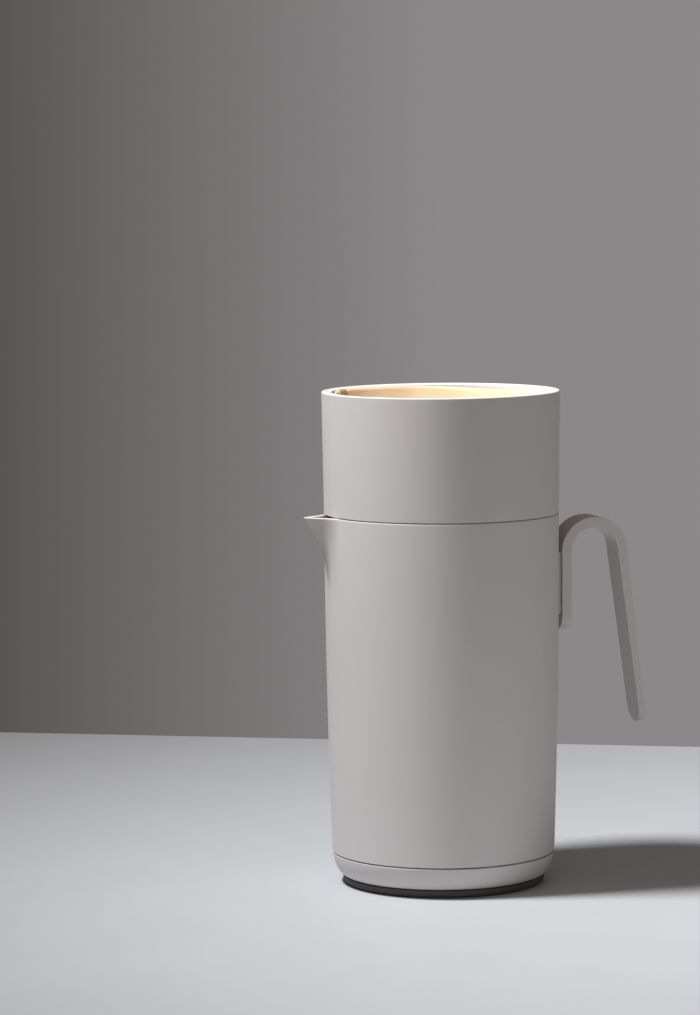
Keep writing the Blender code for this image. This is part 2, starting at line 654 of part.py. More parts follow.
def make_filter_cone(parts, cutters, plastic, carrier):
    """The cone with its collar and outlet, and straight ribs that keep the paper off the wall."""
    slope = math.tan(CONE_HALF_ANGLE)
    outlet_top = cone_start - (collar_bore - OUTLET_RADIUS) / slope
    outlet_foot = outlet_top - OUTLET_HEIGHT
    collar_outer = holder_radius(collar_base) - HOLDER_WALL - FIT
    cone = turned("filter_cone", [
        (collar_bore + CONE_WALL / 2, cone_top),
        (collar_outer, cone_top - CONE_WALL / 2),
        (collar_outer, collar_base),
        (cone_radius(collar_base) + cone_wall_across, collar_base),
        (OUTLET_RADIUS + cone_wall_across, outlet_top),
        (OUTLET_RADIUS + cone_wall_across, outlet_foot),
        (OUTLET_RADIUS, outlet_foot),
        (OUTLET_RADIUS, outlet_top),
        (collar_bore, cone_start),
        (collar_bore, cone_top - CONE_WALL / 2),
    ], parts, plastic, carrier)

    slant = (collar_bore - OUTLET_RADIUS) / math.sin(CONE_HALF_ANGLE)
    rib_size = (RIB_HEIGHT + CONE_WALL / 2, RIB_WIDTH, slant - 2 * RIB_END_GAP)
    middle_z = (cone_start + outlet_top) / 2
    to_wall = Matrix.Translation((cone_radius(middle_z), 0.0, middle_z))
    lean = Matrix.Rotation(CONE_HALF_ANGLE, 4, "Y")
    inwards = Matrix.Translation((-RIB_HEIGHT + rib_size[0] / 2, 0.0, 0.0))
    bm = bmesh.new()
    for i in range(RIB_COUNT):
        bearing = Matrix.Rotation(2 * math.pi * (i + 0.5) / RIB_COUNT, 4, "Z")
        rib = bmesh.ops.create_cube(bm, size=1.0)
        bmesh.ops.scale(bm, vec=rib_size, verts=rib["verts"])
        bmesh.ops.transform(bm, matrix=bearing @ to_wall @ lean @ inwards, verts=rib["verts"])
    ribs = as_cutter(new_object("cone_ribs", mesh_from(bm, "cone_ribs"), cutters))
    boolean(cone, ribs, "UNION")


def make_paper_filter(parts, paper, carrier):
    """The pointed paper cone that lies on the ribs."""
    slope = math.tan(CONE_HALF_ANGLE)
    off_wall = (RIB_HEIGHT + FIT) / math.cos(CONE_HALF_ANGLE)
    sheet_across = PAPER_THICKNESS / math.cos(CONE_HALF_ANGLE)
    paper_top = cone_start + PAPER_ABOVE_CONE
    top_radius = cone_radius(paper_top) - off_wall
    tip = paper_top - (top_radius - PAPER_TIP_RADIUS) / slope
    turned("paper_filter", [
        (top_radius, paper_top),
        (PAPER_TIP_RADIUS, tip),
        (0.0, tip),
        (0.0, tip + PAPER_THICKNESS),
        (PAPER_TIP_RADIUS - sheet_across + PAPER_THICKNESS * slope, tip + PAPER_THICKNESS),
        (top_radius - sheet_across, paper_top),
    ], parts, paper, carrier)


def build():
    clear_scene()
    parts = new_collection("insulated_jug")
    cutters = new_collection("insulated_jug_cutters")
    grey = new_material("matte_grey_plastic", (0.42, 0.405, 0.39), 0.55)
    pale_grey = new_material("pale_cone_plastic", (0.66, 0.65, 0.63), 0.5)
    dark = new_material("dark_silicone", (0.02, 0.02, 0.02), 0.7)
    grey_rubber = new_material("grey_silicone", (0.42, 0.405, 0.39), 0.7)
    clear = new_material("pale_silicone", (0.62, 0.61, 0.58), 0.6)
    steel = new_material("stainless_steel", (0.60, 0.60, 0.59), 0.3, 1.0)
    brass = new_material("brass", (0.75, 0.55, 0.25), 0.35, 1.0)
    solder = new_material("solder_glass", (0.30, 0.30, 0.32), 0.4)
    paper = new_material("natural_paper", (0.78, 0.62, 0.42), 0.9)

    jug = new_carrier("jug", 0.0, parts)
    dripper = new_carrier("dripper", holder_foot, parts, jug)
    cone = new_carrier("cone", collar_base, parts, dripper)
    filter_bag = new_carrier("paper", cone_start, parts, cone)
    bpy.context.view_layer.update()

    make_body_shell(parts, cutters, grey, jug)
    make_base(parts, grey, dark, jug)
    make_flask(parts, steel, solder, clear, jug)
    make_handle(parts, cutters, grey, grey_rubber, steel, brass, jug)
    make_filter_holder(parts, grey, dark, dripper)
    make_filter_cone(parts, cutters, pale_grey, cone)
    make_paper_filter(parts, paper, filter_bag)


build()
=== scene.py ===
import json
import math

import bmesh
import bpy
from mathutils import Matrix, Vector


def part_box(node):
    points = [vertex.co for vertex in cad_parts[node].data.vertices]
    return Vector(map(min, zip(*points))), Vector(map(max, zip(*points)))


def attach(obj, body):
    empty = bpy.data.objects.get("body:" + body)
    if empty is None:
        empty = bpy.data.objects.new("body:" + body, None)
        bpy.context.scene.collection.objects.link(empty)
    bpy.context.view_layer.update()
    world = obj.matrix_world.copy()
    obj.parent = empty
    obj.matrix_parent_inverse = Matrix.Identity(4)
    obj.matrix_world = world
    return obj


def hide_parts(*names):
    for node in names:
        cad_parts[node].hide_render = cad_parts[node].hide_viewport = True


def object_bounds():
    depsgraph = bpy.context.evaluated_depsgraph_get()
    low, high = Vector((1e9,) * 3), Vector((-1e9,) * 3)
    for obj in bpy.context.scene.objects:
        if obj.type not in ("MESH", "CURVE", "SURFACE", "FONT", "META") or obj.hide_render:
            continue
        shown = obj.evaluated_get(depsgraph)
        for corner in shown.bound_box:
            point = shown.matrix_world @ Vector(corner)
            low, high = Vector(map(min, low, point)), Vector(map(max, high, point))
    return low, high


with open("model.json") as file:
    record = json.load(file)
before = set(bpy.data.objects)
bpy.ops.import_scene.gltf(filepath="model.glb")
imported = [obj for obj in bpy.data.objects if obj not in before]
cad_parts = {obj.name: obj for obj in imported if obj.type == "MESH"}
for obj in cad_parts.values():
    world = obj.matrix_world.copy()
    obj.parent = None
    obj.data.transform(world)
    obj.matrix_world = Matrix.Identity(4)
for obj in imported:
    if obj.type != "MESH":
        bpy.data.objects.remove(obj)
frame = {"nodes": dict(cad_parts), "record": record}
cad_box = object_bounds()


# Foot pad
# A dark silicone disc, pressed in a mould, whose spigot plugs into the recess under the base cap.
# It stands a few millimetres proud of the cap and shows as a dark band over the table.
mm = 0.001
fit = 0.3 * mm                      # gap between pieces that touch
foot_low, foot_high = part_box("foot_pad")
cap_low, cap_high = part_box("base_cap")
foot_radius = foot_high.x
foot_top = cap_low.z - fit
foot_top_round = 0.4 * mm
foot_tread_round = 1.9 * mm
spigot_radius = foot_radius - 2.0 * mm
spigot_round = 0.3 * mm
columns = 192                       # steps in a full turn
corner_steps = 4
point_merge = 0.002 * mm
smooth_limit = math.radians(40)     # a sharper bend than this stays an edge

record = frame["record"]
node_bodies = {node: body for body, nodes in record["behaviour"]["bodies"].items() for node in nodes}


def linear(code):
    """An sRGB hex colour as the linear colour that a shader takes."""
    shares = [int(code[i:i + 2], 16) / 255 for i in (0, 2, 4)]
    return (*[s / 12.92 if s <= 0.04045 else ((s + 0.055) / 1.055) ** 2.4 for s in shares], 1.0)


def add_node(tree, kind, sockets=None, **settings):
    """Adds a shader node. A socket takes a plain value, or another node's output as a link."""
    made = tree.nodes.new(kind)
    for name, value in settings.items():
        setattr(made, name, value)
    for socket, value in (sockets or {}).items():
        if isinstance(value, bpy.types.NodeSocket):
            tree.links.new(value, made.inputs[socket])
        else:
            made.inputs[socket].default_value = value
    return made


def new_material(name, **uniform):
    """A material with its principled shader, and the values that are the same all over it."""
    material = bpy.data.materials.new(name)
    material.use_nodes = True
    shader = material.node_tree.nodes["Principled BSDF"]
    for socket, value in uniform.items():
        shader.inputs[socket.replace("_", " ")].default_value = value
    return material, material.node_tree, shader


def half_section(corners, closed=True):
    """A wire outline beside the jug's axis. A corner is its radius, height and perhaps a rounding."""
    bm = bmesh.new()
    verts = [bm.verts.new((corner[0], 0, corner[1])) for corner in corners]
    chain = verts + verts[:1] if closed else verts
    for start, end in zip(chain, chain[1:]):
        bm.edges.new((start, end))
    rounded = [(vert, corner[2]) for vert, corner in zip(verts, corners) if len(corner) > 2]
    for size in sorted({size for vert, size in rounded}):
        bmesh.ops.bevel(bm, geom=[vert for vert, own_size in rounded if own_size == size],
                        offset=size, offset_type="OFFSET", affect="VERTICES",
                        segments=corner_steps, profile=0.5, material=-1)
    return bm


def lathe(corners, closed=True):
    """Turns a half section right round the jug's axis."""
    bm = half_section(corners, closed)
    bmesh.ops.spin(bm, geom=bm.verts[:] + bm.edges[:], cent=(0, 0, 0), axis=(0, 0, 1),
                   angle=2 * math.pi, steps=columns, use_merge=True)
    bmesh.ops.remove_doubles(bm, verts=bm.verts, dist=point_merge)
    bmesh.ops.recalc_face_normals(bm, faces=bm.faces)
    return bm


def add_piece(bm, name, material):
    """A finished mesh as an object at the origin, shaded smooth between its real edges."""
    mesh = bpy.data.meshes.new(name)
    bm.to_mesh(mesh)
    bm.free()
    mesh.materials.append(material)
    mesh.shade_smooth()
    mesh.set_sharp_from_angle(angle=smooth_limit)
    piece = bpy.data.objects.new(name, mesh)
    bpy.context.scene.collection.objects.link(piece)
    flats = piece.modifiers.new("flat faces stay flat", "WEIGHTED_NORMAL")
    flats.keep_sharp = True
    return piece


def finish_node(bm, node, material):
    """The finished piece that stands for a node: it rides on the node's body, takes the given material and
    hides the node.
    """
    piece = add_piece(bm, f"finished_{node}", material)
    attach(piece, node_bodies[node])
    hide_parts(node)
    return piece


def moulded_silicone(name, dark, light):
    """Moulded silicone rubber: dull, with a bloom that greys it in soft patches."""
    bloom_size = 14 * mm
    grain_size = 0.7 * mm           # the real grain is finer and is drawn coarser so that it shows
    material, tree, shader = new_material(name, IOR=1.41)
    place = add_node(tree, "ShaderNodeTexCoord").outputs["Object"]
    bloom = add_node(tree, "ShaderNodeTexNoise", {
        "Vector": place, "Scale": 1 / bloom_size, "Detail": 4.0})
    colour = add_node(tree, "ShaderNodeMix", {
        0: bloom.outputs["Fac"], 6: linear(dark), 7: linear(light)}, data_type="RGBA")
    tree.links.new(colour.outputs[2], shader.inputs["Base Color"])
    gloss = add_node(tree, "ShaderNodeMapRange", {
        "Value": bloom.outputs["Fac"], "To Min": 0.62, "To Max": 0.78})
    tree.links.new(gloss.outputs["Result"], shader.inputs["Roughness"])
    grain = add_node(tree, "ShaderNodeTexNoise", {
        "Vector": place, "Scale": 1 / grain_size, "Detail": 2.0})
    bump = add_node(tree, "ShaderNodeBump", {
        "Height": grain.outputs["Fac"], "Strength": 0.25, "Distance": 0.04 * mm})
    tree.links.new(bump.outputs["Normal"], shader.inputs["Normal"])
    return material


dark_silicone = moulded_silicone("moulded_dark_silicone", "454341", "5A5856")
foot = lathe([
    (0, foot_high.z),
    (spigot_radius, foot_high.z, spigot_round),
    (spigot_radius, foot_top),
    (foot_radius, foot_top, foot_top_round),
    (foot_radius, foot_low.z, foot_tread_round),
    (0, foot_low.z),
], closed=False)
finish_node(foot, "foot_pad", dark_silicone)


# Base cap
# A shallow bowl moulded in the same grey ABS as the casing, with a collar that plugs into it.
# Its bowed side draws in below a thin seam, and a spark-eroded mould gave it a fine matt skin.
seam = 0.6 * mm
seam_round = 0.35 * mm
cap_radius = cap_high.x
cap_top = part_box("body_shell")[0].z - seam
cap_edge_radius = foot_radius + 1.0 * mm
cap_edge_round = 2.4 * mm
bow_radius = 24 * mm
bow_steps = 8
bow_steps_rounded = 2               # the last steps of the bow, which the rounded edge takes up
collar_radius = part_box("base_seal_ring")[1].x
collar_bore = collar_radius - 2.0 * mm
collar_round = 0.4 * mm
groove_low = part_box("base_seal_ring")[0].z - fit
groove_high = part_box("base_seal_ring")[1].z + fit
groove_radius = collar_radius - 1.4 * mm
recess_top = foot_high.z + fit
cap_floor = recess_top + 2.4 * mm
cap_floor_round = 1.0 * mm


def moulded_abs(name, dark, light):
    """ABS from a spark-eroded mould: matt, even, with slow drifts of shade and gloss."""
    drift_size = 55 * mm
    sheen_size = 9 * mm
    grain_size = 0.8 * mm           # the real grain is about 0.1 mm and is drawn coarser so that it shows
    material, tree, shader = new_material(name, IOR=1.5)
    place = add_node(tree, "ShaderNodeTexCoord").outputs["Object"]
    drift = add_node(tree, "ShaderNodeTexNoise", {
        "Vector": place, "Scale": 1 / drift_size, "Detail": 3.0})
    colour = add_node(tree, "ShaderNodeMix", {
        0: drift.outputs["Fac"], 6: linear(dark), 7: linear(light)}, data_type="RGBA")
    tree.links.new(colour.outputs[2], shader.inputs["Base Color"])
    sheen = add_node(tree, "ShaderNodeTexNoise", {
        "Vector": place, "Scale": 1 / sheen_size, "Detail": 3.0})
    gloss = add_node(tree, "ShaderNodeMapRange", {
        "Value": sheen.outputs["Fac"], "To Min": 0.48, "To Max": 0.60})
    tree.links.new(gloss.outputs["Result"], shader.inputs["Roughness"])
    grain = add_node(tree, "ShaderNodeTexNoise", {
        "Vector": place, "Scale": 1 / grain_size, "Detail": 3.0})
    bump = add_node(tree, "ShaderNodeBump", {
        "Height": grain.outputs["Fac"], "Strength": 0.2, "Distance": 0.03 * mm})
    tree.links.new(bump.outputs["Normal"], shader.inputs["Normal"])
    return material


def bow(high, low, radius, steps):
    """Points on an outward bow from a high point to a low one, both left out."""
    middle = (Vector(high) + Vector(low)) / 2
    along = Vector(low) - Vector(high)
    across = Vector((along.y, -along.x)).normalized()
    centre = middle + across * math.sqrt(radius ** 2 - (along.length / 2) ** 2)
    start = Vector(high) - centre
    turn = 2 * math.asin(along.length / 2 / radius)
    return [tuple(centre + Matrix.Rotation(-turn * i / steps, 2) @ start) for i in range(1, steps)]


grey_abs = moulded_abs("moulded_warm_grey_abs", "D0CCCD", "D6D2D3")
cap_side = bow((cap_radius, cap_top), (cap_edge_radius, cap_low.z), bow_radius, bow_steps)
cap = lathe([
    (0, cap_floor),
    (collar_bore, cap_floor, cap_floor_round),
    (collar_bore, cap_high.z, collar_round),
    (collar_radius, cap_high.z, collar_round),
    (collar_radius, groove_high),
    (groove_radius, groove_high),
    (groove_radius, groove_low),
    (collar_radius, groove_low),
    (collar_radius, cap_top),
    (cap_radius, cap_top, seam_round),
    *cap_side[:-bow_steps_rounded],
    (cap_edge_radius, cap_low.z, cap_edge_round),
    (spigot_radius + fit, cap_low.z),
    (spigot_radius + fit, recess_top),
    (0, recess_top),
], closed=False)
finish_node(cap, "base_cap", grey_abs)


# Base seal ring
# A soft ring of dark silicone in the groove of the cap's collar, which keeps spills out of the
# casing. It has a plain half-round outer side and is only seen with the cap drawn off.
ring_low, ring_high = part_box("base_seal_ring")
ring_round = (ring_high.z - ring_low.z) / 2.2       # almost half the ring's height
seal_ring = lathe([
    (groove_radius + fit, ring_high.z),
    (ring_high.x, ring_high.z, ring_round),
    (ring_high.x, ring_low.z, ring_round),
    (groove_radius + fit, ring_low.z),
])
finish_node(seal_ring, "base_seal_ring", dark_silicone)


# Vacuum flask
# Two deep-drawn stainless steel walls with a vacuum between them, joined at the rolled lip.
# Both are brushed on a lathe, so the lines run round the flask, and a bead seals the bottom.
flask_low, flask_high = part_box("flask_outer_wall")
inner_low, inner_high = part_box("flask_inner_wall")
bead_low, bead_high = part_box("vacuum_seal_bead")
steel_wall = 0.8 * mm
flask_radius = flask_high.x
flask_corner = 8.0 * mm
lip_radius = inner_high.x
lip_under = inner_high.z - steel_wall
lip_round = 0.35 * mm
lip_crook = 0.3 * mm
inner_radius = lip_radius - 2.4 * mm
inner_corner = flask_corner - (inner_low.z - flask_low.z)
bore_radius = inner_radius - steel_wall
neck_bore = inner_radius + 0.6 * mm
neck_foot = flask_high.z - 4.0 * mm
shoulder_foot = neck_foot - 8.0 * mm
shoulder_round = 3.0 * mm
vent_radius = 1.2 * mm
bead_seat = flask_low.z - fit
bead_round = (bead_seat - bead_low.z) * 0.9         # a drop, round almost up to its seat
bead_seat_round = 0.3 * mm
bead_plug_round = 0.2 * mm


def brushed_steel():
    """Stainless steel brushed while turning: bright, with fine level lines and slow dull patches."""
    line_height = 0.25 * mm         # brush lines are finer and are drawn coarser so that they show
    line_length = 30 * mm
    patch_size = 18 * mm
    material, tree, shader = new_material("brushed_stainless_steel", Metallic=1.0)
    place = add_node(tree, "ShaderNodeTexCoord").outputs["Object"]
    stretch = add_node(tree, "ShaderNodeMapping", {
        "Vector": place, "Scale": (1 / line_length, 1 / line_length, 1 / line_height)})
    lines = add_node(tree, "ShaderNodeTexNoise", {
        "Vector": stretch.outputs["Vector"], "Scale": 1.0, "Detail": 3.0})
    colour = add_node(tree, "ShaderNodeMix", {
        0: lines.outputs["Fac"], 6: linear("B9B8B4"), 7: linear("D6D5D2")}, data_type="RGBA")
    tree.links.new(colour.outputs[2], shader.inputs["Base Color"])
    patches = add_node(tree, "ShaderNodeTexNoise", {
        "Vector": place, "Scale": 1 / patch_size, "Detail": 2.0})
    gloss = add_node(tree, "ShaderNodeMapRange", {
        "Value": patches.outputs["Fac"], "To Min": 0.24, "To Max": 0.38})
    tree.links.new(gloss.outputs["Result"], shader.inputs["Roughness"])
    bump = add_node(tree, "ShaderNodeBump", {
        "Height": lines.outputs["Fac"], "Strength": 0.3, "Distance": 0.02 * mm})
    tree.links.new(bump.outputs["Normal"], shader.inputs["Normal"])
    return material


def solder_glass():
    """A drop of grey sealing glass, fused smooth, with faint darker swirls."""
    swirl_size = 2.0 * mm
    material, tree, shader = new_material("fused_solder_glass", Roughness=0.22, IOR=1.6)
    place = add_node(tree, "ShaderNodeTexCoord").outputs["Object"]
    swirl = add_node(tree, "ShaderNodeTexNoise", {
        "Vector": place, "Scale": 1 / swirl_size, "Distortion": 1.5})
    colour = add_node(tree, "ShaderNodeMix", {
        0: swirl.outputs["Fac"], 6: linear("6A6A70"), 7: linear("9A9AA0")}, data_type="RGBA")
    tree.links.new(colour.outputs[2], shader.inputs["Base Color"])
    return material


steel = brushed_steel()
inner_wall = lathe([
    (bore_radius, inner_high.z, lip_round),
    (lip_radius, inner_high.z, lip_round),
    (lip_radius, lip_under, lip_round),
    (inner_radius, lip_under, lip_crook),
    (inner_radius, inner_low.z, inner_corner),
    (0, inner_low.z),
    (0, inner_low.z + steel_wall),
    (bore_radius, inner_low.z + steel_wall, inner_corner - steel_wall),
])
finish_node(inner_wall, "flask_inner_wall", steel)
outer_wall = lathe([
    (neck_bore + steel_wall, flask_high.z),
    (neck_bore + steel_wall, neck_foot, shoulder_round),
    (flask_radius, shoulder_foot, shoulder_round),
    (flask_radius, flask_low.z, flask_corner),
    (vent_radius, flask_low.z),
    (vent_radius, flask_low.z + steel_wall),
    (flask_radius - steel_wall, flask_low.z + steel_wall, flask_corner - steel_wall),
    (flask_radius - steel_wall, shoulder_foot, shoulder_round),
    (neck_bore, neck_foot, shoulder_round),
    (neck_bore, flask_high.z),
])
finish_node(outer_wall, "flask_outer_wall", steel)
bead = lathe([
    (0, bead_high.z),
    (vent_radius - fit, bead_high.z, bead_plug_round),
    (vent_radius - fit, bead_seat),
    (bead_high.x, bead_seat, bead_seat_round),
    (bead_high.x, bead_low.z, bead_round),
    (0, bead_low.z),
], closed=False)
finish_node(bead, "vacuum_seal_bead", solder_glass())


# Neck seal and support pad
# Two rings of pale food-grade silicone. One seals the flask's lip under the mouth of the casing,
# and the other sits on the base cap's floor and presses the flask up against it.
mouth_radius = bore_radius + 0.7 * mm
pad_bore = 18.0 * mm
ring_edge = 0.4 * mm


def pale_silicone():
    """Food-grade silicone: milky, a little see-through in its skin, with a soft dull surface."""
    cloud_size = 10 * mm
    grain_size = 0.6 * mm           # drawn coarser than the real grain so that it shows
    material, tree, shader = new_material("moulded_pale_silicone", IOR=1.41, Subsurface_Weight=0.25,
                                          Subsurface_Scale=1.5 * mm, Subsurface_Radius=(1.0, 0.95, 0.9))
    place = add_node(tree, "ShaderNodeTexCoord").outputs["Object"]
    cloud = add_node(tree, "ShaderNodeTexNoise", {
        "Vector": place, "Scale": 1 / cloud_size, "Detail": 3.0})
    colour = add_node(tree, "ShaderNodeMix", {
        0: cloud.outputs["Fac"], 6: linear("BDBAB3"), 7: linear("D2CFC8")}, data_type="RGBA")
    tree.links.new(colour.outputs[2], shader.inputs["Base Color"])
    gloss = add_node(tree, "ShaderNodeMapRange", {
        "Value": cloud.outputs["Fac"], "To Min": 0.45, "To Max": 0.6})
    tree.links.new(gloss.outputs["Result"], shader.inputs["Roughness"])
    grain = add_node(tree, "ShaderNodeTexNoise", {
        "Vector": place, "Scale": 1 / grain_size, "Detail": 2.0})
    bump = add_node(tree, "ShaderNodeBump", {
        "Height": grain.outputs["Fac"], "Strength": 0.2, "Distance": 0.03 * mm})
    tree.links.new(bump.outputs["Normal"], shader.inputs["Normal"])
    return material


milky_silicone = pale_silicone()
for node, bore in (("neck_seal", mouth_radius), ("flask_support_pad", pad_bore)):
    low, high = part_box(node)
    ring = lathe([
        (bore, high.z, ring_edge),
        (high.x, high.z, ring_edge),
        (high.x, low.z, ring_edge),
        (bore, low.z, ring_edge),
    ])
    finish_node(ring, node, milky_silicone)


# Casing with the beak spout
# One ABS moulding: a tall, slightly tapered wall with a ledge inside its rim for the filter holder.
# The spout is drawn out of the wall itself, a pointed beak that fades away below the rim.
shell_low, shell_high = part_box("body_shell")
rim = shell_high.z
rim_radius = shell_high.x
rim_round = 0.6 * mm
shell_height = rim - shell_low.z
shell_taper = rim_radius - cap_radius
shell_wall = 2.4 * mm
ledge_top = rim - 8.0 * mm
ledge_under = ledge_top - 2.4 * mm
ledge_under_round = 0.4 * mm
mouth_round = 0.6 * mm
mouth_margin = 1.0 * mm             # this much of the ledge round the mouth isn't drawn out
crook_round = 0.5 * mm
beak_reach = 12.7 * mm
beak_drop = 40.0 * mm
beak_fade = 2.5                     # how fast the beak falls back to the wall below the rim
beak_tip = math.radians(1.2)        # rounds the point
beak_half_angle = math.radians(12.5)
beak_hollow = 1.5                   # 1 would make the beak's sides straight
beak_sector = math.radians(15)      # half the stretch with fine columns, a little wider than the beak
beak_columns = 112
beak_rows = 36
rest_columns = 168
wall_rows = 20
seat_rows = 8


def shell_radius(z):
    """Outside radius of the casing, which draws in faster towards its foot."""
    return rim_radius - shell_taper * ((rim - z) / shell_height) ** 2


def beak_draw(bearing, z):
    """How far the wall is drawn out: a point with slightly hollow sides that fades below the rim."""
    height_left = 1 - max(0, (rim - z) / beak_drop)
    from_tip = math.hypot(bearing, beak_tip) - beak_tip
    if height_left <= 0 or from_tip >= beak_half_angle:
        return 0
    return beak_reach * height_left ** beak_fade * (1 - from_tip / beak_half_angle) ** beak_hollow


beak_heights = [rim - rim_round - (beak_drop - rim_round) * i / beak_rows
                for i in range(1, beak_rows + 1)]
wall_heights = [rim - beak_drop - (shell_height - beak_drop) * i / wall_rows
                for i in range(1, wall_rows)]
seat_heights = [ledge_top + (rim - ledge_top) * i / seat_rows for i in range(1, seat_rows)]
outside = [(shell_radius(z), z) for z in beak_heights + wall_heights]
inside = [(radius - shell_wall, z) for radius, z in reversed(outside) if z < ledge_under - rim_round]
shell = half_section([
    (rim_radius, rim, rim_round),
    *outside,
    (cap_radius, shell_low.z, seam_round),
    (cap_radius - shell_wall, shell_low.z, seam_round),
    *inside,
    (rim_radius - shell_wall, ledge_under, crook_round),
    (mouth_radius, ledge_under, ledge_under_round),
    (mouth_radius, ledge_top, mouth_round),
    (rim_radius - shell_wall, ledge_top, crook_round),
    *[(rim_radius - shell_wall, z) for z in seat_heights],
    (rim_radius - shell_wall, rim, crook_round),
])
beak_start = Matrix.Rotation(math.pi - beak_sector, 3, "Z")
bmesh.ops.rotate(shell, verts=shell.verts, cent=(0, 0, 0), matrix=beak_start)
beak_turn = bmesh.ops.spin(shell, geom=shell.verts[:] + shell.edges[:], cent=(0, 0, 0), axis=(0, 0, 1),
                           angle=2 * beak_sector, steps=beak_columns)
bmesh.ops.spin(shell, geom=beak_turn["geom_last"], cent=(0, 0, 0), axis=(0, 0, 1),
               angle=2 * math.pi - 2 * beak_sector, steps=rest_columns)
bmesh.ops.remove_doubles(shell, verts=shell.verts, dist=point_merge)
for vert in shell.verts:
    radius = math.hypot(vert.co.x, vert.co.y)
    if radius > mouth_radius + mouth_margin:
        stretch = 1 + beak_draw(math.atan2(vert.co.y, -vert.co.x), vert.co.z) / radius
        vert.co.x *= stretch
        vert.co.y *= stretch
bmesh.ops.recalc_face_normals(shell, faces=shell.faces)
finish_node(shell, "body_shell", grey_abs)


# Handle
# An open hook: one flat ABS strap with rounded edges and round ends, bent over at the top.
# Two steel screws from inside the casing hold its inner leg, over a gasket and a backing plate.
strap_low, strap_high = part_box("handle_strap")
strap_half_width = strap_high.y
strap_thickness = 5.0 * mm
strap_tip_thickness = 3.0 * mm
strap_edge = 2.0 * mm
strap_edge_steps = 5
strap_edge_limit = math.radians(50)
inner_leg = 39.7 * mm
outer_leg = 90.4 * mm
outer_lean = math.radians(7)
arch_radius = 14.7 * mm
arch_sweep = math.pi - outer_lean
arch_length = arch_radius * arch_sweep
arch_steps = 40
arch_centre = strap_high.z - strap_thickness / 2 - arch_radius
strap_length = inner_leg + arch_length + outer_leg
leg_x = strap_low.x + strap_thickness / 2
end_steps = 14
screw_nodes = ("handle_screw_upper", "handle_screw_lower")
insert_nodes = ("handle_insert_upper", "handle_insert_lower")
insert_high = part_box(insert_nodes[0])[1]
pocket_radius = insert_high.y + fit
pocket_end = insert_high.x + fit
pocket_depth = 2 * strap_thickness
pocket_sides = 48


def strap_place(length):
    """A place on the strap's middle line, by its length from the foot: up the leg, over and down."""
    if length < inner_leg:
        return Vector((leg_x, 0, arch_centre - inner_leg + length))
    angle = math.pi - min((length - inner_leg) / arch_radius, arch_sweep)
    run = max(0, length - inner_leg - arch_length)
    x = leg_x + arch_radius + arch_radius * math.cos(angle) + run * math.sin(outer_lean)
    z = arch_centre + arch_radius * math.sin(angle) - run * math.cos(outer_lean)
    return Vector((x, 0, z))


def as_object(bm):
    """A mesh in the making as an object, for modifiers to shape."""
    mesh = bpy.data.meshes.new("in_the_making")
    bm.to_mesh(mesh)
    bm.free()
    made = bpy.data.objects.new("in_the_making", mesh)
    bpy.context.scene.collection.objects.link(made)
    return made


def as_mesh(made):
    """The mesh that an object's modifiers give it. The object itself is removed."""
    bm = bmesh.new()
    bm.from_mesh(made.evaluated_get(bpy.context.evaluated_depsgraph_get()).data)
    bpy.data.objects.remove(made)
    return bm


def change_solid(bm, tool, operation):
    """A closed mesh joined with a second one, or cut by it."""
    solid = as_object(bm)
    second = as_object(tool)
    change = solid.modifiers.new("change", "BOOLEAN")
    change.operation = operation
    change.object = second
    changed = as_mesh(solid)
    bpy.data.objects.remove(second)
    return changed


def turned_brass():
    """Free-cutting brass, turned: warm yellow, with fine tool lines across it."""
    line_width = 0.4 * mm           # tool lines are finer and are drawn coarser so that they show
    line_length = 25 * mm
    material, tree, shader = new_material("turned_brass", Metallic=1.0, Roughness=0.3)
    place = add_node(tree, "ShaderNodeTexCoord").outputs["Object"]
    stretch = add_node(tree, "ShaderNodeMapping", {
        "Vector": place, "Scale": (1 / line_width, 1 / line_length, 1 / line_length)})
    lines = add_node(tree, "ShaderNodeTexNoise", {"Vector": stretch.outputs["Vector"], "Scale": 1.0})
    colour = add_node(tree, "ShaderNodeMix", {
        0: lines.outputs["Fac"], 6: linear("B8924E"), 7: linear("DDBB78")}, data_type="RGBA")
    tree.links.new(colour.outputs[2], shader.inputs["Base Color"])
    return material


def dress_node(node, material):
    """A node whose own shape is right keeps it and takes the finished material."""
    mesh = frame["nodes"][node].data
    mesh.materials.clear()
    mesh.materials.append(material)


end_turns = [math.pi / 2 * (i + 0.5) / end_steps for i in range(end_steps)]
foot_end = [(strap_half_width * (1 - math.cos(turn)), strap_half_width * math.sin(turn))
            for turn in end_turns]
over = [(inner_leg + arch_length * i / arch_steps, strap_half_width) for i in range(arch_steps + 1)]
tip_end = [(strap_length - length, half_width) for length, half_width in reversed(foot_end)]
strap = bmesh.new()
rung = None
for length, half_width in foot_end + over + tip_end:
    middle = strap_place(length)
    if rung is None:
        rung = strap.edges.new([strap.verts.new((middle.x, side * half_width, middle.z))
                                for side in (-1, 1)])
        continue
    grown = bmesh.ops.extrude_edge_only(strap, edges=[rung])["geom"]
    ends = [item for item in grown if isinstance(item, bmesh.types.BMVert)]
    rung = next(item for item in grown
                if isinstance(item, bmesh.types.BMEdge) and set(item.verts) == set(ends))
    for vert in ends:
        vert.co = (middle.x, math.copysign(half_width, vert.co.y), middle.z)
bmesh.ops.recalc_face_normals(strap, faces=strap.faces)
blank = as_object(strap)
thickness = blank.modifiers.new("strap thickness", "SOLIDIFY")
thickness.thickness = strap_thickness
thickness.offset = 0
thickness.use_even_offset = True
edges = blank.modifiers.new("rounded edges", "BEVEL")
edges.width = strap_edge
edges.segments = strap_edge_steps
edges.limit_method = "ANGLE"
edges.angle_limit = strap_edge_limit
strap = as_mesh(blank)

